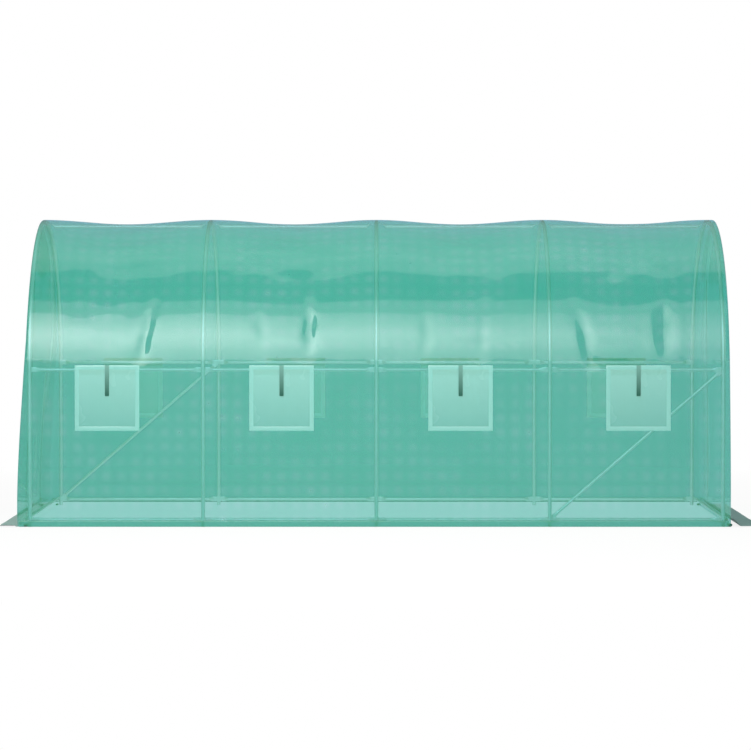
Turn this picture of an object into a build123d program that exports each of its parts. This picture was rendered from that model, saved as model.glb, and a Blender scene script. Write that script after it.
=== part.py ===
import os
from math import atan2, cos, hypot, pi, sin

from build123d import *

os.makedirs("parts", exist_ok=True)

# All lengths are millimetres. X runs along the tunnel, Y across it with the front at minus Y, Z is up.
# The origin lies on the ground, midway along and midway across.

# Layout
bay_count = 4
bay_length = 1118.0
arch_radius = 985.0          # hoop tube centre line
spring_height = 1000.0       # where the straight leg turns into the arch
seat_gap = 0.3               # between two pieces that bear on each other
cut_overrun = 60.0           # how far a cutting block runs past what it cuts
arch_facets = 36             # flats that a bent tube or sheet is drawn with over half a turn

# Steel tubes, drawn as bars of few sides
tube_sides = 8
hoop_tube_radius = 12.5
rail_tube_radius = 11.0
brace_tube_radius = 9.5
tube_wall = 0.9
socket_depth = 60.0          # straight end of the arch that takes the leg's spigot
spigot_share = 0.9           # of the socket depth
swage_length = 8.0
base_rail_height = 45.0
mid_rail_rise = 14.0         # above the spring line

# Flattened and joggled tube ends, stacked on one bolt at each hoop
tab_thickness = 1.6
tab_width_share = 0.95       # of half the tube's girth
tab_flat_length = 38.0       # from the bolt to the start of the flattening
tab_end_length = 10.0        # from the bolt to the free end
tab_end_share = 0.5          # of the tab's width, left at its free end
flatten_length = 32.0
tab_joggle = 6.0             # from the tab's outer face to the tube's outer side

# Cover sheet
cover_thickness = 2.0
cover_clearance = 0.7        # between the hoops and the sheet over them
roof_sag = 30.0              # of the roof sheet midway between two hoops
sag_station_shares = (0, 0.25, 0.5, 0.75, 1)

# Windows in the long walls
window_width = 360.0
window_height = 332.0
window_head_drop = 21.0      # from the spring line down to the head of a window
front_window_offsets = (-58.0, -52.0, -17.0, 11.0)   # from the middle of each bay
rear_window_offsets = (-47.0, -12.0, -37.0, 23.0)
mesh_margin = 15.0
mesh_thickness = 1.0
flap_side_margin = 28.0
flap_foot_margin = 25.0
flap_head_margin = 64.0
flap_thickness = 1.4
hem_width = 27.0
hem_thickness = 2.4
strap_width = 26.0
strap_length = 198.0
strap_thickness = 2.0

# Doors in the end walls
door_width = 900.0
door_head_drop = 385.0       # from the crown of the hoops down to the head of a door
zip_width = 30.0
zip_thickness = 2.0
zip_foot_gap = 4.0           # between the apron and the foot of a zip

# The end walls lean outwards, each in its own way, and end in an apron on the ground
left_lean_top = 0.0
left_lean_foot = 64.0
left_apron_rise = 0.0
right_lean_top = 24.0
right_lean_foot = 36.0
right_apron_rise = 54.0
apron_reach = 187.2          # from the end hoops' outer side to the outer edge of an apron
apron_fold_share = 0.56      # of the apron's reach, where the risen part meets the ground

# Derived sizes
hoop_count = bay_count + 1
hoop_positions = [(index - bay_count / 2) * bay_length for index in range(hoop_count)]
end_hoop_x = hoop_positions[-1]
hoop_inner_radius = arch_radius - hoop_tube_radius
cover_inner_radius = arch_radius + hoop_tube_radius + cover_clearance
cover_outer_radius = cover_inner_radius + cover_thickness
cover_top = spring_height + cover_outer_radius
end_face_x = end_hoop_x + hoop_tube_radius + seat_gap
apron_outer_x = end_face_x + apron_reach
window_sill_height = spring_height - window_head_drop - window_height
door_height = spring_height + arch_radius - door_head_drop
mid_rail_height = spring_height + mid_rail_rise
spigot_length = socket_depth * spigot_share
corner_factor = 1 / cos(pi / tube_sides)
tab_pitch = tab_thickness + seat_gap
facet_step = pi / arch_facets
facet_stretch = 1 / cos(facet_step / 2)
facet_angles = [(index + 1 / 2) * facet_step for index in range(arch_facets)]

ends = {
    "left": {"side": -1, "top": left_lean_top, "foot": left_lean_foot, "rise": left_apron_rise},
    "right": {"side": 1, "top": right_lean_top, "foot": right_lean_foot, "rise": right_apron_rise},
}

nodes = {}


def many_sided(half_depth, half_width, centre_x, station):
    # a closed outline with a flat facing plus X, at a height along the bar
    points = []
    for index in range(tube_sides):
        angle = 2 * pi * (index + 1 / 2) / tube_sides
        across = centre_x + half_depth * corner_factor * cos(angle)
        along = half_width * corner_factor * sin(angle)
        points.append((across, along))
    return Pos(0, 0, station) * Polygon(*points, align=None)


def round_section(radius, station, centre_x=0):
    return many_sided(radius, radius, centre_x, station)


def bend_section(hoop_x, angle, stretch, drop=0):
    # the hoop tube cut across at one angle of the bend, or below its spring line
    centre_radius = arch_radius * stretch
    origin = (hoop_x, -centre_radius * cos(angle), spring_height + centre_radius * sin(angle) - drop)
    place = Plane(origin=origin, x_dir=(0, -cos(angle), sin(angle)), z_dir=(0, sin(angle), cos(angle)))
    return place * many_sided(hoop_tube_radius * stretch, hoop_tube_radius, 0, 0)


def hoop_arch(hoop_x):
    sections = [bend_section(hoop_x, 0, 1, socket_depth)]
    sections += [bend_section(hoop_x, angle, facet_stretch) for angle in facet_angles]
    sections += [bend_section(hoop_x, pi, 1, socket_depth)]
    arch = loft(sections, ruled=True)
    socket_foot = spring_height - socket_depth
    for side in (-1, 1):
        bore = extrude(round_section(hoop_tube_radius - tube_wall, socket_foot), spigot_length + seat_gap)
        arch -= Pos(hoop_x, side * arch_radius, 0) * bore
    return arch


def hoop_leg(hoop_x, side):
    shoulder = spring_height - socket_depth - seat_gap
    spigot_radius = hoop_tube_radius - tube_wall - seat_gap
    stations = [
        (0, hoop_tube_radius),
        (shoulder - swage_length, hoop_tube_radius),
        (shoulder, spigot_radius),
        (shoulder + spigot_length, spigot_radius),
    ]
    skin = loft([round_section(radius, height) for height, radius in stations], ruled=True)
    core = loft([round_section(radius - tube_wall, height) for height, radius in stations], ruled=True)
    return Pos(hoop_x, side * arch_radius, 0) * (skin - core)


def flat_end_bar(length, radius, start_layer, end_layer):
    # runs along Z from bolt to bolt, with the hoop's surface at X zero and the tube behind it
    axis_x = -(seat_gap + tab_joggle + radius)
    tab_half_width = pi * radius / 2 * tab_width_share

    def tab(layer, station, width_share=1):
        centre_x = -(seat_gap + tab_thickness / 2 + layer * tab_pitch)
        return many_sided(tab_thickness / 2, tab_half_width * width_share, centre_x, station)

    round_start = tab_flat_length + flatten_length
    sections = [
        tab(start_layer, -tab_end_length, tab_end_share),
        tab(start_layer, 0),
        tab(start_layer, tab_flat_length),
        round_section(radius, round_start, axis_x),
        round_section(radius, length - round_start, axis_x),
        tab(end_layer, length - tab_flat_length),
        tab(end_layer, length),
        tab(end_layer, length + tab_end_length, tab_end_share),
    ]
    return loft(sections, ruled=True)


def bay_rail(seat_y, seat_z, outward):
    # one tube a bay: the left tab lies on the hoop, the right tab on the next tube's left tab
    tubes = []
    for hoop_x in hoop_positions[:-1]:
        place = Plane(origin=(hoop_x, seat_y, seat_z), x_dir=outward, z_dir=(1, 0, 0))
        tubes.append(place.location * flat_end_bar(bay_length, rail_tube_radius, 0, 1))
    return Part() + tubes


def brace(bay, side):
    rise = mid_rail_height - base_rail_height
    length = hypot(bay_length, rise)
    slope = (bay_length, 0, rise)
    start = (hoop_positions[bay], side * hoop_inner_radius, base_rail_height)
    place = Plane(origin=start, x_dir=(0, side, 0), z_dir=slope)
    return place.location * flat_end_bar(length, brace_tube_radius, 2, 2)


def end_base_rail(side):
    start = (side * (end_hoop_x + hoop_tube_radius), -arch_radius, base_rail_height)
    place = Plane(origin=start, x_dir=(-side, 0, 0), z_dir=(0, 1, 0))
    return place.location * flat_end_bar(2 * arch_radius, rail_tube_radius, 0, 0)


def end_face(end, height):
    # distance from the middle of the tunnel to the inner face of an end wall at one height
    drop_share = (cover_top - height) / cover_top
    return end_face_x + end["top"] + (end["foot"] - end["top"]) * drop_share ** 2


def end_curve(end, offset):
    # the lean of an end wall as a parabola, upright at its head
    side = end["side"]
    foot_x = side * (end_face(end, 0) + offset)
    head_x = side * (end_face(end, cover_top) + offset)
    return Bezier((foot_x, 0), (head_x, cover_top / 2), (head_x, cover_top))


def end_layer(end, inner_offset, outer_offset):
    # a sheet that follows the lean of an end wall, as wide as the tunnel
    inner = end_curve(end, inner_offset)
    outer = end_curve(end, outer_offset)
    profile = make_face([inner, Line(inner @ 1, outer @ 1), outer, Line(outer @ 0, inner @ 0)])
    return extrude(Plane.XZ * profile, cover_outer_radius, both=True)


def beyond_end(end):
    # everything outside the inner face of an end wall, to trim the long sheets
    inner = end_curve(end, -seat_gap)
    far_x = end["side"] * (apron_outer_x + cut_overrun)
    corners = Polyline(inner @ 1, (far_x, cover_top), (far_x, 0), inner @ 0)
    profile = make_face([inner, corners])
    grown = extrude(Plane.XZ * profile, cover_outer_radius + cut_overrun, both=True)
    return grown


def end_block(outline):
    # an outline in Y and Z, drawn through both ends of the tunnel
    reach = apron_outer_x + cut_overrun
    face = Plane(origin=(0, 0, 0), x_dir=(0, 1, 0), z_dir=(1, 0, 0)) * outline
    return extrude(face, reach, both=True)


def upright(width, head, centre_y=0, foot=0):
    return Pos(centre_y, (foot + head) / 2) * Rectangle(width, head - foot)


def roof_arc(radius, sag):
    # flats that touch the half circle from outside, level at the crown and upright at the spring line
    corner_radius = radius * facet_stretch
    flatness = (radius - sag) / radius
    corners = [
        (corner_radius * cos(angle), corner_radius * flatness * sin(angle)) for angle in facet_angles
    ]
    return [(radius, 0), *corners, (-radius, 0)]


def tunnel_outline():
    arc = [(y, spring_height + z) for y, z in roof_arc(cover_outer_radius, 0)]
    return Polygon(*arc, (-cover_outer_radius, 0), (cover_outer_radius, 0), align=None)


def roof_section(station, sag):
    outer = roof_arc(cover_outer_radius, sag)
    inner = roof_arc(cover_inner_radius, sag)
    face = Polygon(*outer, *reversed(inner), align=None)
    return Plane(origin=(station, 0, spring_height), x_dir=(0, 1, 0), z_dir=(1, 0, 0)) * face


def roof_panel(bay):
    start = hoop_positions[bay]
    finish = hoop_positions[bay + 1]
    sections = []
    for share in sag_station_shares:
        sag = roof_sag * (1 - (2 * share - 1) ** 2)
        sections.append(roof_section(start + share * bay_length, sag))
    panel = loft(sections, ruled=True)
    reach = apron_outer_x - end_hoop_x
    if bay == 0:
        panel += extrude(roof_section(start, 0), -reach) - beyond_end(ends["left"])
    if bay == bay_count - 1:
        panel += extrude(roof_section(finish, 0), reach) - beyond_end(ends["right"])
    return panel


def window_centres(offsets):
    middles = [(left + right) / 2 for left, right in zip(hoop_positions[:-1], hoop_positions[1:])]
    return [middle + offset for middle, offset in zip(middles, offsets)]


def wall_plate(side, centre_x, width, height, foot, inner_y, thickness):
    # a plate in a long wall, measured from the middle of the tunnel outwards
    depth = side * (inner_y + thickness / 2)
    return Pos(centre_x, depth, foot + height / 2) * Box(width, thickness, height)


def long_wall(side, offsets):
    length = 2 * apron_outer_x
    wall = wall_plate(side, 0, length, spring_height, 0, cover_inner_radius, cover_thickness)
    for centre_x in window_centres(offsets):
        depth = cover_thickness + 2 * cut_overrun
        hole_y = cover_inner_radius - cut_overrun
        wall -= wall_plate(side, centre_x, window_width, window_height, window_sill_height, hole_y, depth)
    return wall - beyond_end(ends["left"]) - beyond_end(ends["right"])


def window_mesh(side, offsets):
    width = window_width + 2 * mesh_margin
    height = window_height + 2 * mesh_margin
    foot = window_sill_height - mesh_margin
    inner_y = cover_inner_radius - seat_gap - mesh_thickness
    return Part() + [
        wall_plate(side, centre_x, width, height, foot, inner_y, mesh_thickness)
        for centre_x in window_centres(offsets)
    ]


def window_flaps(side, offsets):
    width = window_width + 2 * flap_side_margin
    height = window_height + flap_foot_margin + flap_head_margin
    foot = window_sill_height - flap_foot_margin
    inner_y = cover_outer_radius + seat_gap
    flaps = []
    for centre_x in window_centres(offsets):
        hem = wall_plate(side, centre_x, width, height, foot, inner_y, hem_thickness)
        field_y = inner_y + flap_thickness
        field = wall_plate(
            side,
            centre_x,
            width - 2 * hem_width,
            height - 2 * hem_width,
            foot + hem_width,
            field_y,
            hem_thickness,
        )
        flaps.append(hem - field)
    return Part() + flaps


def window_straps(side, offsets):
    head = window_sill_height + window_height + flap_head_margin
    inner_y = cover_outer_radius + seat_gap + hem_thickness + seat_gap
    return Part() + [
        wall_plate(side, centre_x, strap_width, strap_length, head - strap_length, inner_y, strap_thickness)
        for centre_x in window_centres(offsets)
    ]


def end_wall(end):
    sheet = end_layer(end, 0, cover_thickness) & end_block(tunnel_outline())
    return sheet - end_block(upright(door_width, door_height))


def door(end):
    leaf = upright(door_width - 2 * seat_gap, door_height - seat_gap)
    return end_layer(end, 0, cover_thickness) & end_block(leaf)


def door_zips(end):
    inner_offset = cover_thickness + seat_gap
    tape = end_layer(end, inner_offset, inner_offset + zip_thickness)
    foot = end["rise"] + cover_thickness + zip_foot_gap
    return Part() + [
        tape & end_block(upright(zip_width, door_height, side * door_width / 2, foot)) for side in (-1, 1)
    ]


def apron(end):
    # the foot of the end sheet turned outwards over the ground
    rise = end["rise"]
    inner_x = end_face(end, rise) + cover_thickness + seat_gap
    fold_x = inner_x + (apron_outer_x - inner_x) * apron_fold_share
    upper_fold_x = fold_x
    if rise > 0:
        half_angle = atan2(rise, fold_x - inner_x) / 2
        upper_fold_x = fold_x + cover_thickness * sin(half_angle) / cos(half_angle)
    points = [
        (inner_x, rise),
        (fold_x, 0),
        (apron_outer_x, 0),
        (apron_outer_x, cover_thickness),
        (upper_fold_x, cover_thickness),
        (inner_x, rise + cover_thickness),
    ]
    outline = Polygon(*[(end["side"] * x, z) for x, z in points], align=None)
    return extrude(Plane.XZ * outline, cover_outer_radius, both=True)


for number, hoop_x in enumerate(hoop_positions, start=1):
    nodes[f"hoop_arch_{number}"] = hoop_arch(hoop_x)
    nodes[f"front_leg_{number}"] = hoop_leg(hoop_x, -1)
    nodes[f"rear_leg_{number}"] = hoop_leg(hoop_x, 1)

nodes["ridge_beam"] = bay_rail(0, spring_height + hoop_inner_radius, (0, 0, 1))
nodes["front_mid_rail"] = bay_rail(-hoop_inner_radius, mid_rail_height, (0, -1, 0))
nodes["rear_mid_rail"] = bay_rail(hoop_inner_radius, mid_rail_height, (0, 1, 0))
nodes["front_base_rail"] = bay_rail(-hoop_inner_radius, base_rail_height, (0, -1, 0))
nodes["rear_base_rail"] = bay_rail(hoop_inner_radius, base_rail_height, (0, 1, 0))
nodes["front_brace"] = brace(bay_count - 1, -1)
nodes["rear_brace"] = brace(0, 1)

for bay in range(bay_count):
    nodes[f"roof_panel_{bay + 1}"] = roof_panel(bay)

for name, side, offsets in (("front", -1, front_window_offsets), ("rear", 1, rear_window_offsets)):
    nodes[f"{name}_wall"] = long_wall(side, offsets)
    nodes[f"{name}_window_mesh"] = window_mesh(side, offsets)
    nodes[f"{name}_window_flaps"] = window_flaps(side, offsets)
    nodes[f"{name}_window_straps"] = window_straps(side, offsets)

for name, end in ends.items():
    nodes[f"{name}_base_rail"] = end_base_rail(end["side"])
    nodes[f"{name}_end_wall"] = end_wall(end)
    nodes[f"{name}_door"] = door(end)
    nodes[f"{name}_door_zips"] = door_zips(end)
    nodes[f"{name}_apron"] = apron(end)

for name, shape in nodes.items():
    export_step(shape, f"parts/{name}.step")
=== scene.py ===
from math import asin, ceil, copysign, cos, exp, hypot, pi, radians, sin, sqrt

import bmesh
import bpy
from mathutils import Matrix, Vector, noise


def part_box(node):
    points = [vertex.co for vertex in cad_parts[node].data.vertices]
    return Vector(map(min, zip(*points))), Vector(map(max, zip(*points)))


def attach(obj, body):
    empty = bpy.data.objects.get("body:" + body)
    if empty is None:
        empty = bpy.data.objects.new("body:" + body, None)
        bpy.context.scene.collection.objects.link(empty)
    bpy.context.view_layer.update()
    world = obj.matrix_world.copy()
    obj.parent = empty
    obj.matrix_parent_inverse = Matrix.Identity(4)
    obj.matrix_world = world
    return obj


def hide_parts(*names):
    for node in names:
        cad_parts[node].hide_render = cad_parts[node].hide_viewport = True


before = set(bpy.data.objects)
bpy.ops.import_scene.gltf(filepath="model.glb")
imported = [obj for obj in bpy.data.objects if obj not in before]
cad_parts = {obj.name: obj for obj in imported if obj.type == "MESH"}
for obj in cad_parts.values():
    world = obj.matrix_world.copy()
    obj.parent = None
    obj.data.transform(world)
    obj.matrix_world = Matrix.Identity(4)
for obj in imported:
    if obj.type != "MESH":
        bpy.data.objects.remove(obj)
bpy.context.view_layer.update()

# X runs along the tunnel, Y across it with the front at minus Y, Z is up, all in metres.
# The main places are read from the frame, so that the film and tubes sit where the solids are.
archLow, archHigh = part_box("hoop_arch_1")
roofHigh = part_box("roof_panel_2")[1]
solidFilmHalf = 0.001  # half the thickness of the solid film, whose middle the sheets follow
tubeRadius = (archHigh.x - archLow.x) / 2
springHeight = archHigh.z - archHigh.y
archRadius = archHigh.y - tubeRadius
hoopPlaces = [sum(corner.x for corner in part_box("hoop_arch_%d" % number)) / 2 for number in range(1, 6)]
bayLength = hoopPlaces[1] - hoopPlaces[0]
coverRadius = roofHigh.y - solidFilmHalf
coverTop = springHeight + coverRadius
seatRadius = archRadius - tubeRadius


def linear(hexColour):
    # sRGB hex to the linear values that the shaders take
    parts = [int(hexColour[index:index + 2], 16) / 255 for index in (1, 3, 5)]
    return tuple(p / 12.92 if p <= 0.04045 else ((p + 0.055) / 1.055) ** 2.4 for p in parts) + (1.0,)


def addNode(tree, kind, settings, links=None):
    node = tree.nodes.new("ShaderNode" + kind)
    for key, value in settings.items():
        if isinstance(key, int) or key in node.inputs:
            node.inputs[key].default_value = value
        else:
            setattr(node, key, value)
    for key, socket in (links or {}).items():
        tree.links.new(socket, node.inputs[key])
    return node


def feed(tree, shader, sockets):
    for key, socket in sockets.items():
        tree.links.new(socket, shader.inputs[key])


def combine(tree, operation, first, second=0.0, clamp=False):
    # the socket of one value made from a socket and a second socket or number
    fixed = isinstance(second, float)
    settings = {"operation": operation, "use_clamp": clamp, **({1: second} if fixed else {})}
    return addNode(tree, "Math", settings, {0: first, **({} if fixed else {1: second})}).outputs[0]


def remap(tree, value, source=(0.0, 1.0), target=(0.0, 1.0)):
    settings = {"From Min": source[0], "From Max": source[1], "To Min": target[0], "To Max": target[1]}
    return addNode(tree, "MapRange", settings, {"Value": value}).outputs[0]


def blend(tree, share, low, high):
    # the socket of a mix of two colours, each a hex or a socket
    ends = {6: low, 7: high}
    fixed = {key: linear(end) for key, end in ends.items() if isinstance(end, str)}
    links = {key: end for key, end in ends.items() if key not in fixed}
    return addNode(tree, "Mix", {"data_type": "RGBA", **fixed}, {0: share, **links}).outputs[2]


def relief(tree, height, strength, depth):
    return addNode(tree, "Bump", {"Strength": strength, "Distance": depth}, {"Height": height}).outputs[0]


def startMaterial(name, settings):
    material = bpy.data.materials.new(name)
    material.use_nodes = True
    tree = material.node_tree
    shader = tree.nodes["Principled BSDF"]
    for key, value in settings.items():
        shader.inputs[key].default_value = value
    return material, tree, shader, addNode(tree, "TexCoord", {}).outputs


def grainScale(millimetres):
    # a noise or cell texture's scale for grains of that size
    return 1000 / millimetres


def bands(tree, surface, way, millimetres):
    # at scale 1 a wave texture draws 20 / (2 pi) bands to the metre
    scale = 2 * pi / (20 * millimetres / 1000)
    return addNode(tree, "TexWave", {"bands_direction": way, "Scale": scale}, {"Vector": surface}).outputs["Fac"]


def cloudy(tree, surface, millimetres, detail):
    return addNode(tree, "TexNoise", {"Scale": grainScale(millimetres), "Detail": detail},
                   {"Vector": surface}).outputs["Fac"]


def crossedBands(tree, surface, millimetres, operation):
    # bands along and across a sheet, joined into squares
    return combine(tree, operation, bands(tree, surface, "X", millimetres), bands(tree, surface, "Y", millimetres))


def upSheet(tree, surface, span):
    # 0 at a sheet's edge and 1 that far up it
    return remap(tree, addNode(tree, "SeparateXYZ", {}, {"Vector": surface}).outputs["Y"], (0.0, span))


# Polyethylene tape woven and coated on both sides: see-through, an even soft gloss, and squares of
# thicker thread. The real squares are about 9 mm, drawn 94 mm apart because they show only as faint spots.
def wovenFilm(name, **changes):
    look = {**filmLook, **changes}
    material, tree, shader, coords = startMaterial("woven_film_" + name, {
        "IOR": 1.5, "Specular IOR Level": look["specular"],
        "Coat Weight": look["coat"], "Coat Roughness": look["coatRoughness"], "Coat IOR": look["coatIor"],
    })
    clear = addNode(tree, "BsdfTransparent", {"Color": linear(look["tint"])})
    mixed = addNode(tree, "MixShader", {0: look["body"]}, {1: clear.outputs[0], 2: shader.outputs[0]})
    feed(tree, tree.nodes["Material Output"], {"Surface": mixed.outputs[0]})
    surface = coords["UV"]
    squares = crossedBands(tree, surface, look["squarePitch"], "MULTIPLY")
    cloud = cloudy(tree, surface, look["cloudSize"], 3.0)
    # the squares come and go with the cloud, as they do on film that has been folded
    patch = remap(tree, cloud, look["cloudEdges"])
    spots = addNode(tree, "Math", {"operation": "MULTIPLY_ADD", 1: look["spots"], 2: look["cloud"]}, {0: squares})
    depth = combine(tree, "MULTIPLY", patch, spots.outputs[0])
    colour = blend(tree, depth, look["colour"], look["thread"])
    if "bleached" in look:
        # the flap is lighter towards its head, over the top bleachSpan of it
        colour = blend(tree, upSheet(tree, surface, look["bleachSpan"]), colour, look["bleached"])
    smooth, dull = look["glossSpan"]
    gloss = remap(tree, cloud, target=(look["roughness"] - smooth, look["roughness"] + dull))
    # the weave itself, 2 mm tapes drawn at 24 mm, because finer ones vanish in the render
    weave = crossedBands(tree, surface, look["weavePitch"], "ADD")
    normal = relief(tree, weave, look["weave"], look["weaveDepth"])
    feed(tree, shader, {"Base Color": colour, "Roughness": gloss, "Normal": normal})
    return material


# Hot-dip galvanised steel tube: cold pale grey, softly shiny, with faint crystals of zinc 7 mm wide
def galvanisedSteel():
    material, tree, shader, coords = startMaterial("galvanised_steel_tube", {"Metallic": 0.4})
    spangle = addNode(tree, "TexVoronoi", {"Scale": grainScale(7)}, {"Vector": coords["Object"]}).outputs
    tone = addNode(tree, "SeparateColor", {}, {"Color": spangle["Color"]}).outputs
    feed(tree, shader, {"Base Color": blend(tree, tone[0], "#e6ebe9", "#eff3f1"),
                        "Roughness": remap(tree, tone[1], target=(0.31, 0.34)),
                        "Normal": relief(tree, spangle["Distance"], 0.01, 0.0003)})
    return material


# Polypropylene webbing: dull, ribbed across by its weft of 3 mm, drawn at 6 mm. Fade gives a lighter colour for its
# head, and how far down it reaches.
def ribbedWebbing(name, dark, light, fade=None):
    material, tree, shader, coords = startMaterial(name, {"Roughness": 0.72, "Specular IOR Level": 0.3})
    surface = coords["UV"]
    ribs = bands(tree, surface, "Y", 6)
    tone = combine(tree, "MULTIPLY", ribs, cloudy(tree, surface, 9, 4.0))
    colour = blend(tree, tone, dark, light)
    if fade:
        colour = blend(tree, upSheet(tree, surface, fade[1]), fade[0], colour)
    feed(tree, shader, {"Base Color": colour, "Normal": relief(tree, ribs, 0.5, 0.0006)})
    return material


# Knitted monofilament net: see-through, dull, a fine square grid of 1.6 mm drawn at 5 mm
def insectNet():
    material, tree, shader, coords = startMaterial("knitted_insect_net", {"Alpha": 0.55, "Roughness": 0.6})
    grid = crossedBands(tree, coords["UV"], 5, "MAXIMUM")
    feed(tree, shader, {"Base Color": blend(tree, grid, "#abdccf", "#d7f1e9"),
                        "Normal": relief(tree, grid, 0.4, 0.0005)})
    return material


# pitches and sizes in millimetres
filmLook = {"colour": "#009f64", "thread": "#78ad97", "tint": "#b3e3f4", "body": 0.5,
            "squarePitch": 94, "spots": 0.5, "cloudSize": 420, "cloudEdges": (0.3, 0.7), "cloud": 0.16,
            "roughness": 0.26, "glossSpan": (0.04, 0.06), "specular": 0.5,
            "coat": 1.0, "coatRoughness": 0.04, "coatIor": 1.65,
            "weavePitch": 24, "weave": 0.1, "weaveDepth": 0.0006}
coverFilm = wovenFilm("cover")
# the two ends are one film in lit and shaded copies: the left one's darker tint and fuller body are painted shade,
# as its inner face turns away from the front softbox's brighter left
endFilms = {"left": wovenFilm("left_end", tint="#86bdc4", body=0.58),
            "right": wovenFilm("right_end", tint="#a6dbe2", body=0.54)}
flapFilm = wovenFilm("flaps", colour="#64aa98", thread="#6eb0a1", body=0.78, coat=0.3,
                     bleached="#8bc6b6", bleachSpan=0.42)
hemFilm = wovenFilm("hems", colour="#8bcdc0", thread="#82c6b9", body=0.8, coat=0.3)
# the aprons are greyer and duller than the walls; the right one's darker colour is painted shade, as it is lifted
# and lies in its own shade, while the left one lies flat
apronLook = {"body": 0.92, "coat": 0.0, "specular": 0.2, "roughness": 0.6}
apronFilms = {"left": wovenFilm("left_apron", colour="#8ca69c", thread="#9ab2a8", **apronLook),
              "right": wovenFilm("right_apron", colour="#5f7a72", thread="#6d8981", **apronLook)}
skirtFilm = wovenFilm("skirts", colour="#3f9c76", thread="#4aa17d", body=0.6, coat=0.25)
bindingFilm = wovenFilm("bindings", colour="#cdeee5", thread="#c2e6dc", body=0.8, coat=0.0)
# dark and nearly opaque: painted shade of the corner tucks
shadedTuckFilm = wovenFilm("tucks", colour="#1f5f50", thread="#2f7261", body=0.95, coat=0.2)
steel = galvanisedSteel()
strapWebbing = ribbedWebbing("polypropylene_webbing", "#1d5546", "#356f5e", ("#6da194", 0.19))
zipTape = ribbedWebbing("knitted_zip_tape", "#1f6c5a", "#2f8370")
zipCoil = ribbedWebbing("nylon_zip_coil", "#1b5b4c", "#3c8a77")
netting = insectNet()
print("materials ready")

sharpAngle = radians(38)


def addPiece(name, points, faces, finish, slot, nodes=(), uvs=None, solid=False):
    used = sorted({index for face in faces for index in face})
    place = {old: new for new, old in enumerate(used)}
    mesh = bpy.data.meshes.new(name)
    mesh.from_pydata([points[index] for index in used], [], [[place[index] for index in face] for face in faces])
    mesh.polygons.foreach_set("use_smooth", [True] * len(mesh.polygons))
    if uvs:
        layer = mesh.uv_layers.new(name="metres")
        for loop in mesh.loops:
            layer.data[loop.index].uv = uvs[used[loop.vertex_index]]
    if solid:
        work = bmesh.new()
        work.from_mesh(mesh)
        bmesh.ops.recalc_face_normals(work, faces=work.faces)
        work.to_mesh(mesh)
        work.free()
        mesh.set_sharp_from_angle(angle=sharpAngle)
    mesh.materials.append(finish)
    piece = bpy.data.objects.new(name, mesh)
    bpy.context.collection.objects.link(piece)
    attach(piece, "root")
    if nodes:
        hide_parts(*nodes)
    return piece


def gridFaces(rowCount, columnCount, first=0):
    faces = []
    for row in range(rowCount - 1):
        for column in range(columnCount - 1):
            corner = first + row * columnCount + column
            faces.append((corner, corner + 1, corner + columnCount + 1, corner + columnCount))
    return faces


def ringLoft(rings, first=0):
    # a closed skin over rings of equal count, with both ends filled
    count = len(rings[0])
    points = [point for ring in rings for point in ring]
    faces = []
    for row in range(len(rings) - 1):
        for side in range(count):
            near = first + row * count + side
            far = first + row * count + (side + 1) % count
            faces.append((near, far, far + count, near + count))
    faces.append(tuple(first + side for side in reversed(range(count))))
    faces.append(tuple(first + len(points) - count + side for side in range(count)))
    return points, faces


def joinedLofts(lofts):
    # several closed skins as one mesh
    points, faces = [], []
    for rings in lofts:
        morePoints, moreFaces = ringLoft(rings, len(points))
        points += morePoints
        faces += moreFaces
    return points, faces


def addSteel(name, lofts, nodes=()):
    return addPiece(name, *joinedLofts(lofts), steel, "galvanised_steel", nodes, solid=True)


def circle(count):
    return [2 * pi * index / count for index in range(count)]


def creases(grain, across, along):
    # smooth noise over a sheet: waves to the metre each way, and where in the noise it starts
    return noise.noise(Vector((across * grain[0], along * grain[1], grain[2])))


def ease(share):
    share = min(1.0, max(0.0, share))
    return share * share * (3 - 2 * share)


hoop = {"sides": 24, "bends": 72, "wall": 0.0009, "socketFoot": 0.06, "swage": 0.008, "neck": 0.0012,
        "footDepth": 0.05, "legEnd": 0.01}


def hoopRings(hoopX):
    rings = []

    def ring(centreY, centreZ, outward, radius):
        centre = Vector((hoopX, centreY, centreZ))
        along = Vector((1, 0, 0))
        rings.append([centre + radius * (cos(a) * along + sin(a) * outward) for a in circle(hoop["sides"])])

    # a leg is open at its foot and drawn in at its head, where the bent tube is pushed over it
    socket = springHeight - hoop["socketFoot"]
    inner = tubeRadius - hoop["wall"]
    leg = [(hoop["footDepth"], inner), (0.0, inner), (0.0, tubeRadius), (socket - hoop["swage"], tubeRadius),
           (socket - hoop["neck"], inner), (socket, inner), (socket, tubeRadius),
           (springHeight - hoop["legEnd"], tubeRadius)]
    for height, radius in leg:
        ring(-archRadius, height, Vector((0, -1, 0)), radius)
    for step in range(hoop["bends"] + 1):
        angle = pi * step / hoop["bends"]
        outward = Vector((0, -cos(angle), sin(angle)))
        ring(archRadius * outward.y, springHeight + archRadius * outward.z, outward, tubeRadius)
    for height, radius in reversed(leg):
        ring(archRadius, height, Vector((0, 1, 0)), radius)
    return rings


for number, hoopX in enumerate(hoopPlaces, start=1):
    addSteel("hoop_tube_%d" % number, [hoopRings(hoopX)],
             ["%s_%d" % (part, number) for part in ("hoop_arch", "front_leg", "rear_leg")])

rail = {"radius": 0.011, "brace": 0.0095, "sides": 20, "tab": 0.0016, "gap": 0.0003, "joggle": 0.006, "flat": 0.038,
        "flatten": 0.032, "steps": 10, "tabEnd": 0.010, "tabShare": 0.95,
        # the rings of a tab's rounded end and how far in it rounds, then the power of a flat's
        # squared edge and its rise to a round tube
        "endRings": (1.0, 0.93, 0.8, 0.6, 0.35, 0.0), "endRound": 0.93, "edgePower": (0.55, 0.45)}


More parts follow.
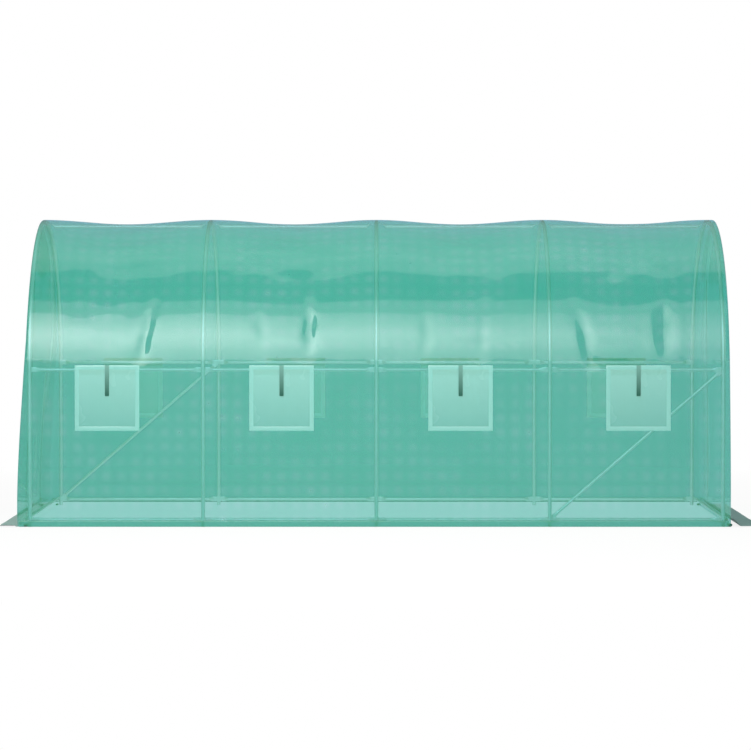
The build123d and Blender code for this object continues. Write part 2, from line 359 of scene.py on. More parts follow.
def flatEndRings(start, finish, outward, radius, startLayer, endLayer):
    # a tube whose ends are pressed flat and joggled out to the hoop, from bolt to bolt
    along = (finish - start).normalized()
    length = (finish - start).length
    sideways = along.cross(outward)
    axisDepth = rail["gap"] + rail["joggle"] + radius
    tabHalfWidth = pi * radius / 2 * rail["tabShare"]

    def tabDepth(layer):
        return rail["gap"] + rail["tab"] / 2 + layer * (rail["tab"] + rail["gap"])

    def half(layer):
        found = [(-rail["tabEnd"] * share, 0.0, sqrt(1 - (rail["endRound"] * share) ** 2))
                 for share in rail["endRings"]]
        found.append((rail["flat"] * 0.5, 0.0, 1.0))
        for step in range(rail["steps"] + 1):
            share = step / rail["steps"]
            found.append((rail["flat"] + rail["flatten"] * share, ease(share), 1.0))
        return [(reach, roundness, width, tabDepth(layer)) for reach, roundness, width in found]

    stations = half(startLayer)
    stations += [(length - reach, roundness, width, depth)
                 for reach, roundness, width, depth in reversed(half(endLayer))]
    edge, rise = rail["edgePower"]
    rings = []
    for reach, roundness, width, depth in stations:
        centre = start + along * reach - outward * (depth + (axisDepth - depth) * roundness)
        deep = rail["tab"] / 2 + (radius - rail["tab"] / 2) * roundness
        wide = (tabHalfWidth + (radius - tabHalfWidth) * roundness) * width
        power = edge + rise * roundness
        ring = []
        for side in range(rail["sides"]):
            angle = 2 * pi * (side + 0.5) / rail["sides"]
            x, y = cos(angle), sin(angle)
            ring.append(centre + outward * (deep * copysign(abs(x) ** power, x)) + sideways * (wide * y))
        rings.append(ring)
    return rings


def addBars(name, bars):
    addSteel(name + "_tube", [flatEndRings(*bar) for bar in bars], [name])


midHeight = sum(corner.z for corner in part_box("front_mid_rail")) / 2
baseHeight = sum(corner.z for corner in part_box("front_base_rail")) / 2
longSides = (("front", -1), ("rear", 1))
railSeats = {"ridge_beam": (Vector((0, 0, springHeight + seatRadius)), Vector((0, 0, 1)))}
for kind, height in (("mid", midHeight), ("base", baseHeight)):
    for row, side in longSides:
        railSeats["%s_%s_rail" % (row, kind)] = (Vector((0, side * seatRadius, height)), Vector((0, side, 0)))
for name, (seat, outward) in railSeats.items():
    addBars(name, [(seat + Vector((a, 0, 0)), seat + Vector((b, 0, 0)), outward, rail["radius"], 0, 1)
                   for a, b in zip(hoopPlaces, hoopPlaces[1:])])
for name, side, bay in (("front_brace", -1, 3), ("rear_brace", 1, 0)):
    foot = Vector((hoopPlaces[bay], side * seatRadius, baseHeight))
    head = Vector((hoopPlaces[bay + 1], side * seatRadius, midHeight))
    addBars(name, [(foot, head, Vector((0, side, 0)), rail["brace"], 2, 2)])
for name, side in (("left_base_rail", -1), ("right_base_rail", 1)):
    seatX = side * (hoopPlaces[-1] + tubeRadius)
    front, rear = Vector((seatX, -archRadius, baseHeight)), Vector((seatX, archRadius, baseHeight))
    addBars(name, [(front, rear, Vector((-side, 0, 0)), rail["radius"], 0, 0)])

bolt = {"washer": 0.008, "washerThick": 0.0014, "washerSides": 20, "nut": 0.0062, "nutThick": 0.0055, "nutSides": 6,
        "thread": 0.003, "threadSides": 12, "stub": 0.004, "chamfer": (0.8, 0.7), "clearance": 0.0001}


def boltRings(place, inward):
    # a washer, a nut, and the bolt's end with its chamfer
    side = inward.orthogonal().normalized()
    other = inward.cross(side)
    plate = bolt["washerThick"]
    nutTop = plate + bolt["nutThick"]
    chamferFoot, chamferHead = bolt["chamfer"]
    shapes = [
        (bolt["washerSides"], [(0, bolt["washer"]), (plate, bolt["washer"])]),
        (bolt["nutSides"], [(plate, bolt["nut"]), (nutTop, bolt["nut"])]),
        (bolt["threadSides"], [(plate, bolt["thread"]), (nutTop + bolt["stub"] * chamferFoot, bolt["thread"]),
                               (nutTop + bolt["stub"], bolt["thread"] * chamferHead)]),
    ]
    return [[[place + inward * depth + radius * (cos(a) * side + sin(a) * other) for a in circle(count)]
             for depth, radius in stations] for count, stations in shapes]


boltLofts = []
# bolts that also hold the end of a brace: rail and hoop
braced = {("front_base_rail", 3), ("front_mid_rail", 4), ("rear_base_rail", 0), ("rear_mid_rail", 1)}
for name, (seat, outward) in railSeats.items():
    for index, hoopX in enumerate(hoopPlaces):
        layers = 3 if (name, index) in braced else 1 if index == 0 else 2
        stack = layers * (rail["tab"] + rail["gap"])
        boltLofts += boltRings(seat + Vector((hoopX, 0, 0)) - outward * (stack + bolt["clearance"]), -outward)
addSteel("frame_bolts", boltLofts)
print("frame tubes and bolts ready")

# windows, one row in each long wall
window = {"width": 0.360, "height": 0.332, "sill": 0.647,
          "front": (-1.735, -0.611, 0.542, 1.688), "rear": (-1.724, -0.571, 0.522, 1.700)}
windowHead = window["sill"] + window["height"]


def inWindow(row, x, z):
    if not window["sill"] < z < windowHead:
        return False
    return any(abs(x - centre) < window["width"] / 2 for centre in window[row])


# the end walls lean out, so the long sheet ends on their curve
def endLean(name, side, belly):
    low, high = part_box(name)
    reach = sorted((abs(low.x), abs(high.x)))
    return {"side": side, "top": reach[0] + solidFilmHalf, "foot": reach[1] - solidFilmHalf, "belly": belly}


leans = {"left": endLean("left_end_wall", -1, 0.020), "right": endLean("right_end_wall", 1, 0.004)}
slackFilm = {"top": 1.2, "skew": 0.7}


def endReach(name, height):
    lean = leans[name]
    drop = (coverTop - min(height, coverTop)) / coverTop
    # below shoulder height the slack film bellies out
    slack = sin(pi * min(1.0, max(0.0, height) / slackFilm["top"]) ** slackFilm["skew"])
    return lean["side"] * (lean["top"] + (lean["foot"] - lean["top"]) * drop * drop + lean["belly"] * slack)


# tunnel cover: one film from the front hem over the hoops to the rear hem
cover = {"step": 0.0185, "fineStep": 0.0095, "wallStep": 0.034, "bends": 156, "endShares": (0.35, 0.7, 0.9, 1.0),
         "closest": 0.003, "closestDent": 0.006, "closestRow": 0.005, "foot": 0.0015, "rearFoot": 0.022,
         "round": 0.010, "sag": 0.030, "ripple": 0.0078, "rippleGrain": (5.2, 8.0, 3.7),
         "swell": 0.0026, "swellGrain": (2.3, 2.9, 9.1), "pucker": 0.0016, "puckerGrain": (10.5, 3.4, 7.9),
         # low on the arch the ripples are weaker, and the ridge beam holds the crown still
         "calm": 0.3, "calmTop": 0.45, "calmSpan": 0.25, "ridgeHold": 0.75, "ridgePower": 8,
         "wall": 0.0016, "wallGrain": (4.3, 2.6, 5.3), "wallHead": 0.12, "wallFoot": (0.05, 0.2),
         "dentMargin": 0.05, "dentWander": 0.014, "wanderGrain": (7, 9, 0.4), "dentGrain": (5, 7, 6.2),
         # dents in the film: X and degrees up the arch at both ends, depth, half width
         "dents": [(-1.435, 26, -1.525, 5, 0.0165, 0.036), (-1.370, 29, -1.400, 17, -0.0030, 0.040),
                   (-0.435, 27, -0.430, 10, 0.0185, 0.044), (-0.750, 23, -0.745, 12, 0.0095, 0.040),
                   (0.330, 24, 0.310, 6, 0.0085, 0.042), (0.700, 28, 0.680, 8, 0.0085, 0.042),
                   (1.270, 26, 1.395, 4, 0.0200, 0.048), (1.345, 23, 1.430, 4, -0.0030, 0.034),
                   (1.870, 28, 1.860, 9, 0.0200, 0.048), (1.965, 29, 1.955, 8, -0.0030, 0.034)]}


def spaced(edges, step, fine=()):
    # stations no further apart than step that include every edge, closer within the fine spans
    found = [edges[0]]
    for low, high in zip(edges, edges[1:]):
        near = any(start < (low + high) / 2 < finish for start, finish in fine)
        parts = max(1, ceil((high - low) / (cover["fineStep"] if near else step) - 0.2))
        found += [low + (high - low) * (index + 1) / parts for index in range(parts)]
    return found


def tidyEdges(values, closest):
    kept = []
    for value in sorted(values):
        if not kept or value - kept[-1] > closest:
            kept.append(value)
    return kept


def baySag(x):
    # 0 at each hoop and beyond the end hoops, 1 midway
    if abs(x) >= hoopPlaces[-1]:
        return 0.0
    return sin(pi * (x - hoopPlaces[0]) / bayLength) ** 2


def dentDepth(x, angle):
    depth = 0.0
    for startX, startAngle, endX, endAngle, deep, wide in cover["dents"]:
        lineX, lineS = endX - startX, (endAngle - startAngle) * pi / 180
        wander = cover["dentWander"] * creases(cover["wanderGrain"], startX, angle)
        offX, offS = x - startX + wander, angle - startAngle * pi / 180
        share = max(0.0, min(1.0, (offX * lineX + offS * lineS) / (lineX ** 2 + lineS ** 2)))
        gap = hypot(offX - share * lineX, offS - share * lineS) / wide
        if gap < 3:
            # deepest past the middle, and uneven along its run
            uneven = 0.75 + 0.5 * creases(cover["dentGrain"], startX, angle)
            depth += deep * uneven * exp(-gap * gap) * sin(pi * (0.12 + 0.72 * share))
    return depth


windowEdges = [centre + side * window["width"] / 2
               for row in ("front", "rear") for centre in window[row] for side in (-1, 1)]
dentSpans = [(min(dent[0], dent[2]) - cover["dentMargin"], max(dent[0], dent[2]) + cover["dentMargin"])
             for dent in cover["dents"]]
dentEdges = [edge for span in dentSpans for edge in span]
columnEdges = tidyEdges(windowEdges + hoopPlaces, cover["closest"])
columnEdges = sorted(columnEdges + [
    edge for edge in dentEdges if min(abs(edge - kept) for kept in columnEdges) > cover["closestDent"]])
columns = spaced(columnEdges, cover["step"], dentSpans)
wallRows = spaced([cover["foot"], window["sill"], windowHead, springHeight], cover["wallStep"])
arcRows = [pi * (index + 1) / cover["bends"] for index in range(cover["bends"] - 1)]
girth = [("front", height, height) for height in wallRows]
girth += [("roof", angle, springHeight + angle * coverRadius) for angle in arcRows]
rearRows = [cover["rearFoot"]]
rearRows += [height for height in wallRows if height > cover["rearFoot"] + cover["closestRow"]]
girth += [("rear", height, 2 * springHeight + pi * coverRadius - height) for height in reversed(rearRows)]

points, uvs = [], []
for part, place, run in girth:
    height = springHeight + coverRadius * sin(place) if part == "roof" else place
    leftEnd, rightEnd = endReach("left", height), endReach("right", height)
    rowXs = [hoopPlaces[0] + (leftEnd - hoopPlaces[0]) * share for share in reversed(cover["endShares"])]
    rowXs += columns
    rowXs += [hoopPlaces[-1] + (rightEnd - hoopPlaces[-1]) * share for share in cover["endShares"]]
    for x in rowXs:
        loose = baySag(x)
        slack = sqrt(loose)
        # the film turns in over the last centimetre, to meet the end wall in a rounded edge
        beyond = min(abs(x - leftEnd), abs(rightEnd - x))
        turn = cover["round"] * (1 - sqrt(max(0.0, 1 - (1 - min(1.0, beyond / cover["round"])) ** 2)))
        if part == "roof":
            crown = sin(place)
            high = cover["calm"] + (1 - cover["calm"]) * ease((crown - cover["calmTop"]) / cover["calmSpan"])
            wave = cover["ripple"] * high * creases(cover["rippleGrain"], x, run)
            wave += cover["swell"] * creases(cover["swellGrain"], x, run)
            wave += cover["pucker"] * (1 - high) * creases(cover["puckerGrain"], x, run)
            wave = wave * slack - dentDepth(x, place) * slack
            wave = wave * (1 - cover["ridgeHold"] * crown ** cover["ridgePower"])
            reach = coverRadius + wave - turn
            points.append((x, -reach * cos(place), springHeight + (reach - cover["sag"] * loose) * crown))
        else:
            side = -1 if part == "front" else 1
            dip = 0.5 + 0.5 * creases(cover["wallGrain"], x, run)
            start, span = cover["wallFoot"]
            held = ease((springHeight - place) / cover["wallHead"]) * ease((place + start) / span)
            points.append((x, side * (coverRadius - cover["wall"] * dip * slack * held - turn), place))
        uvs.append((x, run))

rowLength = len(rowXs)
faces = []
for face in gridFaces(len(girth), rowLength):
    row = face[0] // rowLength
    part = girth[row][0] if girth[row][0] == girth[row + 1][0] else "roof"
    if part != "roof":
        middle = [sum(points[index][axis] for index in face) / 4 for axis in (0, 2)]
        if inWindow(part, *middle):
            continue
    faces.append(face)
coverNodes = ["roof_panel_%d" % number for number in range(1, 5)] + ["front_wall", "rear_wall"]
tunnelCover = addPiece("tunnel_cover", points, faces, coverFilm, "cover_film", coverNodes, uvs)
print("tunnel cover", len(faces), "faces")

# the foot of the long sheet is turned up and welded: a slack rounded roll along each side
skirt = {"front": 0.041, "rear": 0.024, "lift": 0.0034, "gap": 0.0004, "inset": 0.012, "foot": 0.001,
         "rows": 8, "columns": 160}
for row, side, foot in (("front", -1, skirt["foot"]), ("rear", 1, cover["rearFoot"])):
    points, uvs = [], []
    for share in [0.5 - 0.5 * cos(pi * index / skirt["rows"]) for index in range(skirt["rows"] + 1)]:
        height = foot + skirt[row] * share
        leftEnd, rightEnd = endReach("left", height) + skirt["inset"], endReach("right", height) - skirt["inset"]
        bulge = skirt["gap"] + skirt["lift"] * sqrt(max(0.0, share * (1 - share))) * 2
        for step in range(skirt["columns"] + 1):
            x = leftEnd + (rightEnd - leftEnd) * step / skirt["columns"]
            points.append((x, side * (coverRadius + bulge), height))
            uvs.append((x, height))
    faces = gridFaces(skirt["rows"] + 1, skirt["columns"] + 1)
    addPiece(row + "_skirt_hem", points, faces, skirtFilm, "cover_film", uvs=uvs)

# end walls, doors and zips
endSheet = {"doorWidth": 0.900, "doorHead": 1.600, "doorColumns": 40, "sideColumns": 20, "rowStep": 0.025,
            "arcFrom": 0.6, "arcRows": 24, "foot": 0.0015, "headGap": 0.0004, "leafLift": 0.0006, "rounding": 0.001,
            "billow": 0.006, "billowGrain": (3.5, 2.2, 1.3), "headHold": 0.3, "footHold": 0.4, "leastHalf": 0.02}
doorHalf = endSheet["doorWidth"] / 2


def archHalf(height):
    reach = coverRadius - cover["round"]
    if height <= springHeight:
        return reach
    return sqrt(max(0.0, reach ** 2 - (height - springHeight) ** 2))


def endPoint(name, y, height, off=0.0):
    # the film hangs slack between its edges, so it billows out and ripples a little
    side = leans[name]["side"]
    room = max(0.0, 1 - (y / max(archHalf(height), endSheet["leastHalf"])) ** 2)
    wide, tall, seed = endSheet["billowGrain"]
    bulge = endSheet["billow"] * room * (0.45 + 0.55 * creases((wide, tall, seed + side), y, height))
    bulge = bulge * ease((coverTop - height) / endSheet["headHold"]) * ease(height / endSheet["footHold"])
    return (endReach(name, height) + side * (bulge + off), y, height)


def endRow(height):
    halfWidth = archHalf(height)
    doorEdge = doorHalf if height <= endSheet["doorHead"] else doorHalf * halfWidth / archHalf(endSheet["doorHead"])
    outer = endSheet["sideColumns"]
    inner = endSheet["doorColumns"]
    left = [-halfWidth + (halfWidth - doorEdge) * index / outer for index in range(outer)]
    middle = [-doorEdge + 2 * doorEdge * index / inner for index in range(inner + 1)]
    right = [doorEdge + (halfWidth - doorEdge) * (index + 1) / outer for index in range(outer)]
    return left + middle + right


topHeight = springHeight + coverRadius - cover["round"] - endSheet["headGap"]
archRise = topHeight - springHeight
firstAngle = asin(endSheet["arcFrom"] / archRise)
endHeights = spaced([endSheet["foot"], endSheet["doorHead"]], endSheet["rowStep"])
for step in range(1, endSheet["arcRows"] + 1):
    angle = firstAngle + (pi / 2 - firstAngle) * step / endSheet["arcRows"]
    endHeights.append(springHeight + archRise * sin(angle))
for name in ("left", "right"):
    points, uvs = [], []
    for height in endHeights:
        for y in endRow(height):
            points.append(endPoint(name, y, height))
            uvs.append((y, height))
    wide = len(endRow(1.0))
    wallFaces, leafFaces = [], []
    firstDoor, lastDoor = endSheet["sideColumns"], endSheet["sideColumns"] + endSheet["doorColumns"]
    doorTop = endSheet["doorHead"] + endSheet["rounding"]
    for face in gridFaces(len(endHeights), wide):
        row, column = divmod(face[0], wide)
        isDoor = firstDoor <= column < lastDoor and endHeights[row + 1] <= doorTop
        (leafFaces if isDoor else wallFaces).append(face)
    endWall = addPiece(name + "_end_film", points, wallFaces, endFilms[name], "end_film", [name + "_end_wall"], uvs)
    # the leaf stands a hair outside the wall, so that its edge shows as a seam
    side = leans[name]["side"]
    leafPoints = [(x + side * endSheet["leafLift"], y, z) for x, y, z in points]
    addPiece(name + "_door_film", leafPoints, leafFaces, endFilms[name], "end_film",
                                [name + "_door"], uvs)

zipper = {"tape": 0.030, "tapeLift": 0.0028, "tapeArch": 0.0007, "tapeShares": (-0.5, -0.25, 0.0, 0.25, 0.5),
          "step": 0.02, "gap": 0.002, "pitch": 0.012, "bead": 0.0032, "neck": 0.55, "coilLift": 0.0036,
          "coilSides": 8, "coilFlat": 0.45,
          # where the zips end above the ground
          "left": 0.012, "right": 0.062}
slider = {"lift": 0.05, "length": 0.032, "width": 0.015, "depth": 0.004, "seat": 0.0045, "sides": 16, "corner": 0.6,
          "pull": 0.040, "pullWidth": 0.010, "pullDepth": 0.0011, "pullGap": 0.0014, "pullHead": 0.8,
          # for each ring, its share of the length, of the width and of the depth
          "bodyRings": [(0.0, 0.5, 0.6), (0.08, 0.62, 0.9), (0.3, 0.68, 1.0), (0.6, 0.88, 1.0), (0.85, 1.0, 1.0),
                        (0.96, 0.92, 0.85), (1.0, 0.8, 0.6)],
          "pullRings": [(0.0, 0.5, 0.7), (0.06, 0.7, 1.0), (0.35, 0.62, 1.0), (0.7, 0.9, 1.0), (0.94, 1.0, 1.0),
                        (1.0, 0.75, 0.7)]}


def sliderRings(name, edge, foot):
    # a waisted slider body on the coil, and its pull that hangs from the body's head
    def ring(height, halfWidth, halfDepth, off):
        found = []
        for angle in circle(slider["sides"]):
            across, out = [copysign(abs(value) ** slider["corner"], value) for value in (cos(angle), sin(angle))]
            found.append(Vector(endPoint(name, edge + halfWidth * across, height, off + halfDepth * out)))
        return found

    half, depth = slider["width"] / 2, slider["depth"]
    head = foot + slider["length"] * slider["pullHead"]
    body = [ring(foot + slider["length"] * up, half * wide, depth * deep, slider["seat"])
            for up, wide, deep in slider["bodyRings"]]
    pull = [ring(head - slider["pull"] * down, slider["pullWidth"] / 2 * wide, slider["pullDepth"] * deep,
                 slider["seat"] + depth + slider["pullGap"]) for down, wide, deep in slider["pullRings"]]
    return [body, pull]


for name in ("left", "right"):
    tapePoints, tapeUvs, tapeFaces = [], [], []
    coilLofts, sliderLofts = [], []
    for edge in (-doorHalf, doorHalf):
        heights = spaced([zipper[name], endSheet["doorHead"] - zipper["gap"]], zipper["step"])
        first = len(tapePoints)
        for height in heights:
            for share in zipper["tapeShares"]:
                lift = zipper["tapeLift"] + zipper["tapeArch"] * cos(share * pi)
                tapePoints.append(endPoint(name, edge + share * zipper["tape"], height, lift))
                tapeUvs.append((share * zipper["tape"], height))
        tapeFaces += gridFaces(len(heights), len(zipper["tapeShares"]), first)
        # the coil is a string of beads, with a bead and a neck to each pitch
        beads = int((endSheet["doorHead"] - 2 * zipper["gap"] - zipper[name]) / zipper["pitch"] * 2)
        rings = []
        for bead in range(beads + 1):
            height = zipper[name] + zipper["gap"] + bead * zipper["pitch"] / 2
            radius = zipper["bead"] * (1.0 if bead % 2 else zipper["neck"])
            centre = Vector(endPoint(name, edge, height, zipper["coilLift"]))
            rings.append([centre + Vector((cos(a) * radius * zipper["coilFlat"], sin(a) * radius, 0))
                          for a in circle(zipper["coilSides"])])
        coilLofts.append(rings)
        sliderLofts += sliderRings(name, edge, zipper[name] + slider["lift"])
    tapes = addPiece(name + "_zip_tapes", tapePoints, tapeFaces, zipTape, "zip_tape", [name + "_door_zips"], tapeUvs)
    coils = addPiece(name + "_zip_coils", *joinedLofts(coilLofts), zipCoil, "zip_tape", solid=True)
    sliders = addSteel(name + "_zip_sliders", sliderLofts)
print("end walls, doors and zips ready")

# aprons: the foot of each end sheet laid out over the ground
apronSheet = {"ripple": 0.0035, "grain": (6, 3.6, 4.4), "rows": 26, "columns": 110, "curlReach": 0.07,
              "freeRun": 0.03, "gap": 0.0016, "lift": 0.0015, "drape": 0.8,
              "left": {"rise": 0.0, "fold": 2.380, "outer": 2.441, "curl": 0.010},
              "right": {"rise": 0.054, "fold": 2.354, "outer": 2.482, "curl": 0.004}}
aprons = []
for name in ("left", "right"):
    side, own = leans[name]["side"], apronSheet[name]
    rise, outer = own["rise"], own["outer"]
    inner = abs(endReach(name, rise)) + apronSheet["gap"]
    wide, deep, seed = apronSheet["grain"]
    points, uvs = [], []
    for row in range(apronSheet["rows"] + 1):
        reach = inner + (outer - inner) * row / apronSheet["rows"]
        down = max(0.0, 1 - (reach - inner) / (own["fold"] - inner))
        for column in range(apronSheet["columns"] + 1):
            y = -coverRadius + 2 * coverRadius * column / apronSheet["columns"]
            wave = 0.5 + 0.5 * creases((wide, deep, seed * side), reach, y)
            free = ease((reach - inner) / apronSheet["freeRun"])
            curl = own["curl"] * ease((abs(y) - coverRadius) / apronSheet["curlReach"] + 1) * free
            height = apronSheet["lift"] + rise * ease(down) ** apronSheet["drape"]
            height = height + apronSheet["ripple"] * wave * free + curl
            points.append((side * reach, y, height))
            uvs.append((reach, y))
    apron = addPiece(name + "_apron_film", points, gridFaces(apronSheet["rows"] + 1, apronSheet["columns"] + 1),
                     apronFilms[name], "apron_film", [name + "_apron"], uvs)
    aprons.append(apron)

# where cover, end wall and apron meet, the spare film is pushed into a tight tuck; its dark, nearly opaque film is
# painted shade of that corner. The table gives its radius at the front and rear, its X at the left and right
tuck = {"length": 0.075, "front": 0.014, "rear": 0.008, "left": 2.262, "right": 2.280, "steps": 12, "sides": 16,
        "past": 0.006, "seat": 0.72, "lift": 0.0012, "wide": 1.25, "tall": 0.7, "lump": 0.28, "grain": (2.2, 2.2, 6)}
tucks = []
for name in ("left", "right"):
    for row, end in longSides:
        rings = []
        for step in range(tuck["steps"] + 1):
            share = step / tuck["steps"]
            # thickest midway, thin at both ends
            swell = tuck[row] * (0.35 + 0.65 * sin(pi * (0.08 + 0.84 * share)))
            y = end * (coverRadius - tuck["length"] * share + tuck["past"])
            centre = Vector((leans[name]["side"] * tuck[name], y, swell * tuck["seat"] + tuck["lift"]))
            wide, tall, seed = tuck["grain"]
            ring = []
            for angle in circle(tuck["sides"]):
                x, z = cos(angle), sin(angle)
                lump = 1 + tuck["lump"] * creases((wide, tall, share * seed + end), x, z)
                ring.append(centre + Vector((x * swell * tuck["wide"] * lump, 0, z * swell * tuck["tall"] * lump)))
            rings.append(ring)
        points, faces = ringLoft(rings)
        tucks.append(addPiece("%s_%s_tuck" % (name, row), points, faces, shadedTuckFilm, "cover_film",
                              uvs=[(point.x, point.y) for point in points], solid=True))
print("aprons and tucks ready")

# window nets, flaps, hems and straps; the profiles give a band's reach from the edge and its lift
net = {"margin": 0.015, "count": 16, "dip": 0.004, "inset": 0.0018, "bindingInset": 0.0025,
       "binding": [(-0.004, 0.0), (-0.002, 0.0005), (0.012, 0.0007), (0.026, 0.0005), (0.028, 0.0)]}
flap = {"sideMargin": 0.028, "footMargin": 0.025, "headMargin": 0.064, "count": 22, "lift": 0.0018, "bulge": 0.0016,
        "grain": (9, 7, 2.2), "windowShift": 3, "hemLift": 0.0006,
        "hem": [(0.0, 0.0002), (-0.002, 0.0011), (-0.012, 0.0013), (-0.024, 0.0011), (-0.027, 0.0003)]}
strap = {"width": 0.026, "length": 0.198, "thick": 0.0018, "steps": 22, "lift": 0.0034, "swing": 0.0008, "sway": 5.1,
         "endFrom": 0.97, "endWidth": 0.93, "innerEdge": 0.4}
bandSteps = 10


def frameBand(profile, centre, foot, width, height, side, depth, outward):
    # a low band round a rectangle
    points, uvs, faces = [], [], []
    for reach, lift in profile:
        low, high, wide = -reach, height + reach, width / 2 + reach
        corners = [(-wide, low), (wide, low), (wide, high), (-wide, high)]
        for start, finish in zip(corners, corners[1:] + corners[:1]):
            for step in range(bandSteps):
                x = start[0] + (finish[0] - start[0]) * step / bandSteps
                z = start[1] + (finish[1] - start[1]) * step / bandSteps
                points.append((centre + x, side * (depth + outward * lift), foot + z))
                uvs.append((x, z))
    around = 4 * bandSteps
    for band in range(len(profile) - 1):
        for step in range(around):
            near, far = band * around + step, band * around + (step + 1) % around
            faces.append((near, far, far + around, near + around))
    return points, uvs, faces


def windowGrid(width, height, count):
    # places from a window's middle and foot with the share of belly that each has, their uvs and faces
    grid = []
    for up in range(count + 1):
        for over in range(count + 1):
            belly = sin(pi * over / count) * sin(pi * up / count)
            grid.append(((over / count - 0.5) * width, up / count * height, belly))
    return grid, [place[:2] for place in grid], gridFaces(count + 1, count + 1)


for row, side in longSides:
    nodeName = row + "_window_"
    for number, centre in enumerate(window[row], start=1):
        width = window["width"] + 2 * net["margin"]
        height = window["height"] + 2 * net["margin"]
        foot = window["sill"] - net["margin"]
        grid, uvs, faces = windowGrid(width, height, net["count"])
        points = [(centre + x, side * (coverRadius - net["inset"] - net["dip"] * belly), foot + z)
                  for x, z, belly in grid]
        netPiece = addPiece("%s_net_%d" % (row, number), points, faces, netting, "insect_mesh",
                            [nodeName + "mesh"], uvs)
        # a pale tape binds the net to the inside of the wall
        points, uvs, faces = frameBand(net["binding"], centre, window["sill"], window["width"],
                                       window["height"], side, coverRadius - net["bindingInset"], -1)
        binding = addPiece("%s_net_binding_%d" % (row, number), points, faces, bindingFilm, "flap_film", uvs=uvs)

        width = window["width"] + 2 * flap["sideMargin"]
        foot = window["sill"] - flap["footMargin"]
        height = windowHead + flap["headMargin"] - foot
        outY = coverRadius + flap["lift"]
        grid, uvs, faces = windowGrid(width, height, flap["count"])
        wide, tall, seed = flap["grain"]
        points = []
        for x, z, belly in grid:
            wave = noise.noise(Vector((centre * flap["windowShift"] + x * wide, z * tall, seed * side)))
            points.append((centre + x, side * (outY + flap["bulge"] * belly * (0.6 + 0.5 * wave)), foot + z))
        flapPiece = addPiece("%s_flap_%d" % (row, number), points, faces, flapFilm, "flap_film",
                             [nodeName + "flaps"], uvs)
        # the hem is the edge folded over and sewn down: a low rounded band round the flap
        points, uvs, faces = frameBand(flap["hem"], centre, foot, width, height, side, outY + flap["hemLift"], 1)
        hemPiece = addPiece("%s_hem_%d" % (row, number), points, faces, hemFilm, "flap_film", uvs=uvs)

        # the tie strap hangs from the head of the flap and swings out a little at its end
        head = foot + height
        rings, ringUvs = [], []
        for step in range(strap["steps"] + 1):
            share = step / strap["steps"]
            drop = strap["length"] * share
            swing = strap["swing"] * sin(share * strap["sway"] + number) * share
            depth = outY + strap["lift"] + swing
            half = strap["width"] / 2 * (1.0 if share < strap["endFrom"] else strap["endWidth"])
            cut = strap["thick"] / 2
            edges = (-half, -half * strap["innerEdge"], half * strap["innerEdge"], half)
            outline = [(x, -cut) for x in edges] + [(x, cut) for x in reversed(edges)]
            rings.append([Vector((centre + x, side * (depth + y), head - drop)) for x, y in outline])
            ringUvs += [(x, drop) for x, y in outline]
        points, faces = ringLoft(rings)
        strapPiece = addPiece("%s_strap_%d" % (row, number), points, faces, strapWebbing, "strap_webbing",
                              [nodeName + "straps"], ringUvs, solid=True)
print("windows ready")

# film lets the lamps through to what stands behind it, so it throws no shadow
clearFilms = [coverFilm, *endFilms.values(), flapFilm, hemFilm, skirtFilm, bindingFilm, netting]
filmPieces = [piece for piece in bpy.data.objects
              if piece.type == "MESH" and piece.data.materials and piece.data.materials[0] in clearFilms]
for piece in filmPieces:
    piece.visible_shadow = False

# stage: pale floor, soft studio light, camera at the photograph's angle
stage = {"floorSize": 80.0, "floorDrop": 0.0005, "floorColour": "#f1f2f1",
         # how much of the floor's white is its own, near the object and far off, and where it changes
         "floorGlow": (0.86, 1.0), "floorFade": (2.6, 6.0),
         "frontPower": 620.0, "frontFade": (1.5, 0.45), "frontCore": (1.3, 0.45), "topPower": 340.0,
         # light from all round, at the horizon and overhead
         "ambient": (0.78, 0.06),
         # the studio as the film mirrors it: degrees up from the front horizon, and brightness
         "walls": [(0, 1.0), (9, 1.0), (13, 0.6), (44, 0.6), (45, 1.5), (54, 1.4), (55.5, 0.06), (80, 0.06),
                   (81, 1.1), (97, 1.1), (98, 1.3), (115, 0.8), (142, 0.5), (160, 0.32), (180, 0.32)]}
floorMesh = bpy.data.meshes.new("floor")
edge, down = stage["floorSize"] / 2, -stage["floorDrop"]
floorMesh.from_pydata([(-edge, -edge, down), (edge, -edge, down), (edge, edge, down), (-edge, edge, down)],
                      [], [(0, 1, 2, 3)])
floor = bpy.data.objects.new("floor", floorMesh)
bpy.context.collection.objects.link(floor)
floorPaint, tree, shader, coords = startMaterial("matt_paper_floor", {
    "Base Color": linear(stage["floorColour"]), "Roughness": 0.9, "Specular IOR Level": 0.0})
rays = addNode(tree, "LightPath", {}).outputs
seen = combine(tree, "ADD", rays["Is Camera Ray"], rays["Is Glossy Ray"], clamp=True)
seen = combine(tree, "ADD", seen, rays["Is Transmission Ray"], clamp=True)
# plain white further off, while the paper near the object keeps its shadow
away = addNode(tree, "VectorMath", {"operation": "LENGTH"}, {0: coords["Object"]})
glow = remap(tree, away.outputs["Value"], stage["floorFade"], stage["floorGlow"])
white = addNode(tree, "Emission", {"Strength": 1.0})
paper = addNode(tree, "MixShader", {}, {0: combine(tree, "MULTIPLY", seen, glow), 1: shader.outputs[0],
                                        2: white.outputs[0]})
feed(tree, tree.nodes["Material Output"], {"Surface": paper.outputs[0]})
floorMesh.materials.append(floorPaint)

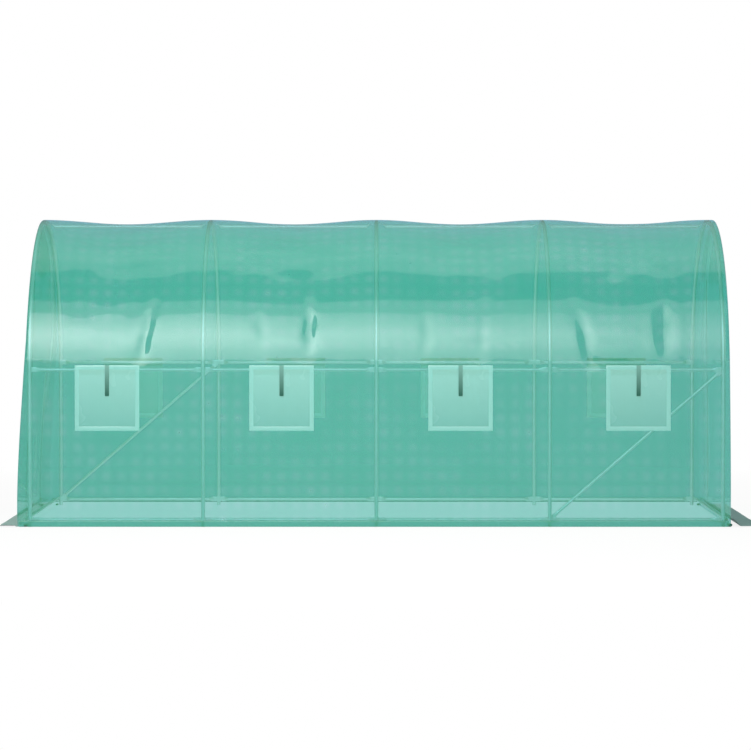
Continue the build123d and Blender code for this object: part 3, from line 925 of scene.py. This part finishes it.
world = bpy.data.worlds.new("studio")
bpy.context.scene.world = world
world.use_nodes = True
tree = world.node_tree
backdrop = tree.nodes["Background"]
coords = addNode(tree, "TexCoord", {})
split = addNode(tree, "SeparateXYZ", {}, {"Vector": coords.outputs["Generated"]}).outputs
climb = combine(tree, "ARCTAN2", split["Z"], combine(tree, "MULTIPLY", split["Y"], -1.0))
walls = addNode(tree, "ValToRGB", {}, {0: combine(tree, "DIVIDE", climb, pi)})
ramp = walls.color_ramp.elements
while len(ramp) < len(stage["walls"]):
    ramp.new(0.5)
for stop, (degrees, bright) in zip(ramp, stage["walls"]):
    stop.position, stop.color = degrees / 180, (bright, bright, bright, 1)
rays = addNode(tree, "LightPath", {}).outputs
mirrored = combine(tree, "MULTIPLY", walls.outputs[0], rays["Is Glossy Ray"])
# the studio's walls light more than its ceiling does
lit = combine(tree, "MULTIPLY", remap(tree, split["Z"], target=stage["ambient"]), rays["Is Diffuse Ray"])
seen = combine(tree, "ADD", rays["Is Camera Ray"], rays["Is Transmission Ray"])
feed(tree, backdrop, {"Strength": combine(tree, "MAXIMUM", combine(tree, "ADD", mirrored, lit), seen)})
backdrop.inputs["Color"].default_value = (1, 1, 1, 1)


def softbox(name, place, aim, width, height, power):
    lamp = bpy.data.lights.new(name, "AREA")
    lamp.shape = "RECTANGLE"
    lamp.size, lamp.size_y, lamp.energy = width, height, power
    holder = bpy.data.objects.new(name, lamp)
    holder.location = place
    holder.rotation_euler = (Vector(aim) - Vector(place)).to_track_quat("-Z", "Y").to_euler()
    holder.visible_camera = False
    bpy.context.collection.objects.link(holder)
    return holder


front = softbox("front_softbox", place=(-0.4, -8.18, 4.72), aim=(-0.4, -0.9, 1.25), width=7.6, height=5.7,
                power=stage["frontPower"])
# brighter to the left, dimmer towards its upper and lower edges
front.data.use_nodes = True
tree = front.data.node_tree
spot = addNode(tree, "NewGeometry", {})
split = addNode(tree, "SeparateXYZ", {}, {"Vector": spot.outputs["Parametric"]}).outputs
fade = remap(tree, split["X"], target=stage["frontFade"])
off = combine(tree, "ABSOLUTE", combine(tree, "SUBTRACT", split["Y"], 0.5))
core = remap(tree, off, (0.0, 0.5), stage["frontCore"])
feed(tree, tree.nodes["Emission"], {"Strength": combine(tree, "MULTIPLY", fade, core)})

# a fill from above that the film doesn't mirror
top = softbox("top_fill", place=(0, 0.5, 7.5), aim=(0, 0, 1.0), width=7.0, height=4.0, power=stage["topPower"])
top.visible_glossy = False
# the roof shades the tubes from it, though its film throws no shadow here
litFromAbove = bpy.data.collections.new("lit_from_above")
for piece in filmPieces + tucks + aprons + [floor]:
    litFromAbove.objects.link(piece)
top.light_linking.receiver_collection = litFromAbove

view = {"place": (0.0, -20.785, 1.560), "pitch": 1.677, "turn": 0.017,
        "lens": 147.36, "sensor": 36.0, "clipEnd": 300.0}
camera = bpy.data.objects.new("camera", bpy.data.cameras.new("camera"))
camera.location = view["place"]
camera.rotation_euler = (radians(90 - view["pitch"]), 0, radians(view["turn"]))
camera.data.lens, camera.data.sensor_width, camera.data.clip_end = view["lens"], view["sensor"], view["clipEnd"]
bpy.context.collection.objects.link(camera)
bpy.context.scene.camera = camera
bpy.context.scene.view_settings.view_transform = "Standard"
print("stage ready")
